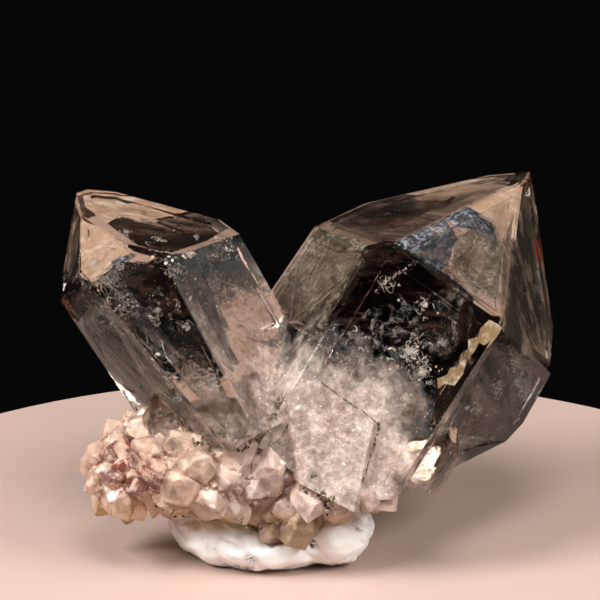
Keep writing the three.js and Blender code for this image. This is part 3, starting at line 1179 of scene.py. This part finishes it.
# Iron stain: the two pixels each line of specks runs between, how far they stray and how many
STAIN_LINES = (
    ((192, 443), (218, 447), 1.2, 16),
    ((218, 447), (241, 451), 1.2, 14),
    ((241, 451), (258, 438), 1.5, 16),
    ((270, 424), (283, 396), 4.0, 34),
    ((219, 430), (227, 436), 2.5, 12),
    ((190, 428), (192, 432), 1.2, 4),
    ((168, 412), (172, 419), 1.8, 7),
    ((147, 404), (150, 412), 1.8, 9),
    ((137, 382), (142, 387), 1.5, 5),
    ((309, 477), (318, 475), 0.8, 5),
    ((303, 488), (308, 494), 1.5, 5),
    ((320, 492), (334, 503), 4.0, 22),
    ((324, 503), (328, 514), 2.5, 10),
    ((320, 382), (380, 425), 0.7, 46),
    ((380, 425), (361, 486), 0.7, 40),
    ((83, 514), (92, 520), 1.5, 6),
    ((150, 505), (196, 521), 2.5, 16),
    ((236, 520), (262, 530), 3.0, 10),
)
STAIN_SIZE = (0.08, 0.32)


def make_stain(material, carriers):
    """Specks of dirt, each laid on the surface that the camera sees at its pixel."""
    chance = random.Random(5)
    graph = bpy.context.evaluated_depsgraph_get()
    trees = [BVHTree.FromObject(carrier, graph) for carrier in carriers]
    eye = TO_FRAME @ EYE
    mesh = bmesh.new()
    for start, end, stray, count in STAIN_LINES:
        for _ in range(count):
            share = chance.random()
            across = start[0] + (end[0] - start[0]) * share + chance.gauss(0, 0.6 * stray)
            down = start[1] + (end[1] - start[1]) * share + chance.gauss(0, 0.6 * stray)
            sight = sight_line((across, down))
            hits = [tree.ray_cast(eye, sight) for tree in trees]
            hits = [hit for hit in hits if hit[0]]
            if hits:
                place, normal, _, _ = min(hits, key=lambda hit: hit[3])
                add_speck(mesh, TO_FRAME.inverted() @ place, normal, chance)
    return new_object("iron_stain", mesh, material)


def add_speck(mesh, place, normal, chance):
    """A small flattened lump, half sunk in the surface."""
    size = chance.uniform(*STAIN_SIZE)
    first, second = sheet_directions(normal)
    turn = chance.uniform(0, math.tau)
    length = first * math.cos(turn) + second * math.sin(turn)
    breadth = normal.cross(length)
    stretch = chance.uniform(0.4, 1.0)
    lump = bmesh.ops.create_icosphere(mesh, subdivisions=1, radius=1.0)
    for vert in lump["verts"]:
        uneven = size * chance.uniform(0.7, 1.2)
        offset = length * vert.co.x + breadth * vert.co.y * stretch + normal * vert.co.z * 0.3
        vert.co = place + offset * uneven


# The putty
PUTTY_VOXEL = 0.3
PUTTY_FLAT = 0.02  # below this height it stays flat on the ground
FOLD_HEIGHT = 0.35
CREASE_DEPTH = 0.4
CREASE_WIDTH = 0.3
LUMP_HEIGHT = 0.06
SKIN_SINK = 0.1
SOFTENING = 5  # passes of smoothing over the creases


def kneading(place):
    """How far the putty's skin stands out at a place: broad folds, slanted creases, fine lumps."""
    fold = noise.noise(Vector((place.x * 0.35, place.y * 0.35, place.z * 0.8)))
    slanted = Vector((place.x * 0.45 + place.z * 0.4, place.y * 0.25, 3.0))
    crease = max(0.0, 1 - abs(noise.noise(slanted)) / CREASE_WIDTH) ** 2
    fine = noise.noise(place * 1.1)
    return FOLD_HEIGHT * fold - CREASE_DEPTH * crease + LUMP_HEIGHT * fine - SKIN_SINK


def evenly_meshed_putty():
    """A copy of the solid's mesh with small even faces and its edges rounded."""
    putty = bpy.data.objects.new("putty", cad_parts["mounting_putty"].data.copy())
    bpy.context.scene.collection.objects.link(putty)
    remesh = putty.modifiers.new("remesh", "REMESH")
    remesh.mode = "VOXEL"
    remesh.voxel_size = PUTTY_VOXEL * MM
    smooth = putty.modifiers.new("smooth", "SMOOTH")
    smooth.iterations = 6
    apply_modifiers(putty)
    return putty


def make_putty(material):
    putty = evenly_meshed_putty()
    shaped = putty.data
    shaped.materials.clear()
    shaped.materials.append(material)
    lowest = PUTTY_FLAT * MM
    for vert in shaped.vertices:
        if vert.co.z > lowest:
            vert.co += vert.normal * kneading(vert.co / MM) * MM
        vert.co.z = max(vert.co.z, 0.0)
    soft = bmesh.new()
    soft.from_mesh(shaped)
    for _ in range(SOFTENING):
        above = [vert for vert in soft.verts if vert.co.z > lowest]
        bmesh.ops.smooth_vert(soft, verts=above, factor=0.5)
    soft.to_mesh(shaped)
    soft.free()
    for polygon in shaped.polygons:
        polygon.use_smooth = True
    return putty


# The stage
FLOOR_RADIUS = 60.0
# Lights: the name, the place, the side of the square and the power
LIGHTS = (
    ("key", (-270, -150, 290), 170, 2.6),
    ("fill", (260, -170, 230), 150, 1.35),
    ("front", (30, -190, 400), 160, 1.25),
)


def make_floor():
    mesh = bmesh.new()
    bmesh.ops.create_circle(mesh, cap_ends=True, segments=96, radius=FLOOR_RADIUS)
    bmesh.ops.translate(mesh, verts=mesh.verts, vec=BASE_CENTRE + Vector((0, 0, -0.02)))
    floor = new_object("floor", mesh, floor_material())


def add_light(name, place, size, power):
    """A soft square light, placed in millimetres and turned to the specimen."""
    data = bpy.data.lights.new(name, "AREA")
    data.size = size * MM
    data.energy = power
    light = bpy.data.objects.new(name, data)
    light.location = TO_FRAME @ Vector(place)
    aim = TO_FRAME @ Vector((0, 0, 20)) - light.location
    light.rotation_euler = aim.to_track_quat("-Z", "Y").to_euler()
    bpy.context.scene.collection.objects.link(light)


def make_lights():
    bpy.context.scene.view_settings.view_transform = "Standard"
    world = bpy.data.worlds.new("world")
    world.use_nodes = True
    world.node_tree.nodes["Background"].inputs["Color"].default_value = (0.002, 0.002, 0.002, 1)
    bpy.context.scene.world = world
    for light in LIGHTS:
        add_light(*light)


crystals = make_crystals()
crust = make_crust(pale_quartz())
flecks = make_flecks(fleck_material())
veils = make_veils(veil_material())
films = [veils] + [make_films(*piece) for piece in FILM_PIECES]
stain = make_stain(stain_material(), (crystals, crust))
putty = make_putty(putty_material())
make_floor()
make_lights()

for piece in (crystals, crust, flecks, *films, stain, putty):
    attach(piece, "root")
for piece, slot in (
    (crystals, "smoky_quartz"),
    (crust, "pale_quartz"),
    (flecks, "veils"),
    *[(film, "veils") for film in films],
    (stain, "iron_stain"),
):
    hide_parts("quartz_cluster")
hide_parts("mounting_putty")

cycles = bpy.context.scene.cycles
cycles.max_bounces = 24
cycles.transmission_bounces = 20
cycles.glossy_bounces = 10
cycles.transparent_max_bounces = 32
